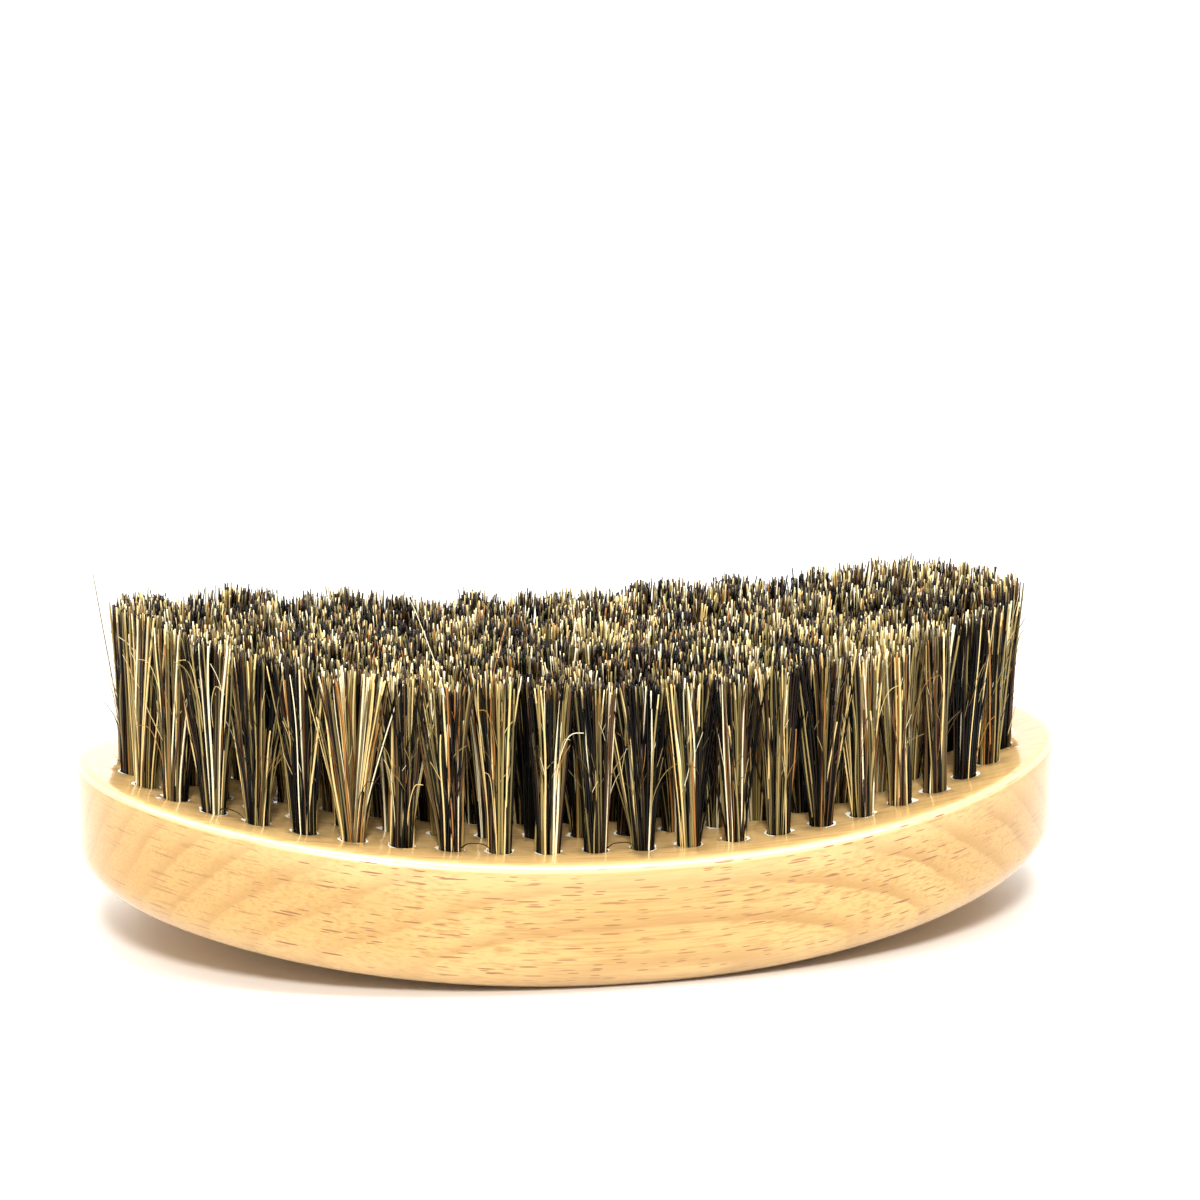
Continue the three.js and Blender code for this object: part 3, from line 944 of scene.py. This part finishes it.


# Loose hairs, given one by one. The tuft is counted back from the end of the outer row, and the
# points are (along the row, outwards, height over the face) from its hole.
Stray = namedtuple("Stray", "tuft points radius shade")
LONG_STRAYS = (
    Stray(4, [(0.4, 0.3, 6), (-0.6, 1.2, 18), (-3.6, 0.2, 27), (-4.8, 0, 29.5)], 0.08, "cream"),
    Stray(3, [(-0.6, 0.6, 8), (-1.2, 1.3, 19), (0.6, 0, 27), (1.3, -0.5, 29)], 0.08, "amber"),
    Stray(13, [(-0.6, 1.0, 4), (-1.4, 2.4, 12), (-2.0, 3.6, 19), (-2.5, 4.2, 22.5)], 0.1,
          "olive"),
)
ARC_TUFTS = (9, 4, 1)  # low arcs lead from these to the next hole
LOOSE_HAIRS = 60
LOOSE_SHADES = ("cream", "blond", "blond", "khaki", "amber", "umber", "black")


def add_stray(hair, tuft, points, radius, shade):
    """A loose hair on a smooth curve through points given beside a tuft."""
    smooth = []
    points = np.array(points, dtype=float)
    steps = len(points) - 1
    for i in range(steps):
        before, start = points[max(0, i - 1)], points[i]
        end, after = points[i + 1], points[min(steps, i + 2)]
        for share in (0.0, 0.25, 0.5, 0.75):
            smooth.append(0.5 * (2 * start + (end - before) * share
                                 + (2 * before - 5 * start + 4 * end - after) * share ** 2
                                 + (3 * start - before - 3 * end + after) * share ** 3))
    smooth.append(points[-1])
    path = [over_face(tuft, p) for p in smooth]
    radii = [radius * (1 - 0.5 * i / len(path)) for i in range(len(path))]
    hair.tube(path, radii, [SHADE_NAMES.index(shade)] * (len(path) - 1), TWIG_SIDES)


def make_strays(materials):
    """Loose hairs: long ones above the tips, low arcs between holes and bent ones outside."""
    rng = random.Random(SEED + 5)
    hair = HairMesh()
    outer = [tuft for tuft in TUFTS if tuft["row"] == 0]
    for stray in LONG_STRAYS:
        add_stray(hair, outer[-stray.tuft], stray.points, stray.radius, stray.shade)
    for number in ARC_TUFTS:
        reach = 2 * outer[-number]["half_pitch"]
        arc = [(1.2, 0.6, 0.3), (reach * 0.35, 1.1, 1.0),
               (reach * 0.65, 1.1, 1.0), (reach - 1.2, 0.6, 0.3)]
        add_stray(hair, outer[-number], arc, 0.09, "black")
    for _ in range(LOOSE_HAIRS):
        index = rng.randrange(len(outer))
        hand = rng.choice((-1, 1))
        low = rng.uniform(1, 11)
        rise = rng.uniform(4, 8)
        width = rng.uniform(0.8, 3.6) * hand
        out = rng.uniform(0.4, 2.0)
        lift = rng.uniform(-0.6, 2.0)
        points = [(0.7 * hand, 1.0, low), (0.9 * hand, 1.3 + out * 0.2, low + rise * 0.5),
                  (0.9 * hand + width * 0.4, 1.4 + out * 0.6, low + rise),
                  (0.9 * hand + width, 1.4 + out, low + rise + lift)]
        shade = rng.choice(LOOSE_SHADES)
        add_stray(hair, outer[index], points, rng.uniform(0.05, 0.09), shade)
    piece = hair.build("stray_hairs", materials)
    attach(piece, "root")


# ---------------------------------------------------------------------------------------
# Stage
# ---------------------------------------------------------------------------------------

# The camera, in degrees and millimetres. An azimuth of 0 looks along +y.
CAMERA_AZIMUTH = -13.98
CAMERA_ELEVATION = 11.0
CAMERA_DISTANCE = 400.0
CAMERA_TARGET = (3.2, 0.0, 40.2)
CAMERA_ROLL = 0.41
CAMERA_LENS = 95.4
SENSOR_WIDTH = 36.0
CLIP_START = 0.01  # metres

FLOOR_REACH = 60000  # from the middle to a side, in millimetres

# Lights, in metres and watts. The key is a sun, in watts per square metre.
STRIP_PLACE, STRIP_AIM = (-0.05, -0.12, 0.65), (0.0, 0.0, 0.02)
STRIP_SIZE = (1.2, 0.24)
STRIP_POWER = 5.4
STRIP_COLOUR = (1.0, 0.99, 0.97)
KEY_DIRECTION = (-0.2, -0.8, 0.8)
KEY_POWER = 2.9
KEY_ANGLE = 12  # degrees

# The world is bright behind the brush and in a band along the horizon.
WORLD_DIM = 0.4
WORLD_BEHIND = 1.5
WORLD_HORIZON = 1.0


def make_camera():
    azimuth, elevation = math.radians(CAMERA_AZIMUTH), math.radians(CAMERA_ELEVATION)
    back = Vector((math.sin(azimuth) * math.cos(elevation),
                   -math.cos(azimuth) * math.cos(elevation), math.sin(elevation)))
    data = bpy.data.cameras.new("camera")
    data.lens = CAMERA_LENS
    data.sensor_width = SENSOR_WIDTH
    data.clip_start = CLIP_START
    camera = bpy.data.objects.new("camera", data)
    turn = back.to_track_quat("Z", "Y").to_matrix()
    roll = Matrix.Rotation(math.radians(CAMERA_ROLL), 3, "Z")
    camera.matrix_world = Matrix.Translation(
        (Vector(CAMERA_TARGET) + back * CAMERA_DISTANCE) * MM) @ (turn @ roll).to_4x4()
    bpy.context.scene.collection.objects.link(camera)
    bpy.context.scene.camera = camera


def towards(direction):
    """The turn of a light that shines against a direction."""
    return Vector(direction).to_track_quat("Z", "Y").to_matrix().to_4x4()


def make_lights():
    data = bpy.data.lights.new("strip", "AREA")
    data.shape = "RECTANGLE"
    data.size, data.size_y = STRIP_SIZE
    data.energy = STRIP_POWER
    data.color = STRIP_COLOUR
    strip = bpy.data.objects.new("strip", data)
    direction = Vector(STRIP_PLACE) - Vector(STRIP_AIM)
    strip.matrix_world = Matrix.Translation(STRIP_PLACE) @ towards(direction)
    bpy.context.scene.collection.objects.link(strip)
    data = bpy.data.lights.new("key", "SUN")
    data.energy = KEY_POWER
    data.angle = math.radians(KEY_ANGLE)
    key = bpy.data.objects.new("key", data)
    key.matrix_world = towards(KEY_DIRECTION)
    bpy.context.scene.collection.objects.link(key)


def make_world():
    world = bpy.data.worlds.new("studio")
    world.use_nodes = True
    n = Nodes(world.node_tree)
    _, y, z = n.parts(n.add("ShaderNodeTexCoord").outputs["Generated"])
    background = world.node_tree.nodes["Background"]
    background.inputs["Color"].default_value = (1.0, 1.0, 1.0, 1.0)
    behind = n.span(y, -0.1, 0.4, WORLD_DIM, WORLD_BEHIND)
    horizon = n.span(n.math("ABSOLUTE", z), 0.15, 0.2, WORLD_HORIZON, WORLD_DIM)
    n.plug(n.math("MAXIMUM", behind, horizon), background.inputs["Strength"])
    bpy.context.scene.world = world


def make_stage():
    reach = FLOOR_REACH
    floor = mesh_object(
        "floor", [(-reach, -reach, 0), (reach, -reach, 0), (reach, reach, 0), (-reach, reach, 0)],
        [(0, 1, 2, 3)], [floor_material()], smooth=False)
    make_world()
    make_lights()
    bpy.context.scene.view_settings.view_transform = "Standard"
    bpy.context.scene.view_settings.look = "None"


# ---------------------------------------------------------------------------------------
# Assembly
# ---------------------------------------------------------------------------------------

make_camera()
make_stage()

block = make_block([beech_material(), raw_wood_material(), hole_material()])
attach(block, "root")
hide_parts("brush_block")

hair_materials = bristle_materials()
make_tufts(hair_materials)
make_strays(hair_materials)

steel = steel_material()
make_anchors(steel)
for name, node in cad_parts.items():
    if name.startswith("centre_anchor_"):
        for slot in node.material_slots:
            slot.material = steel
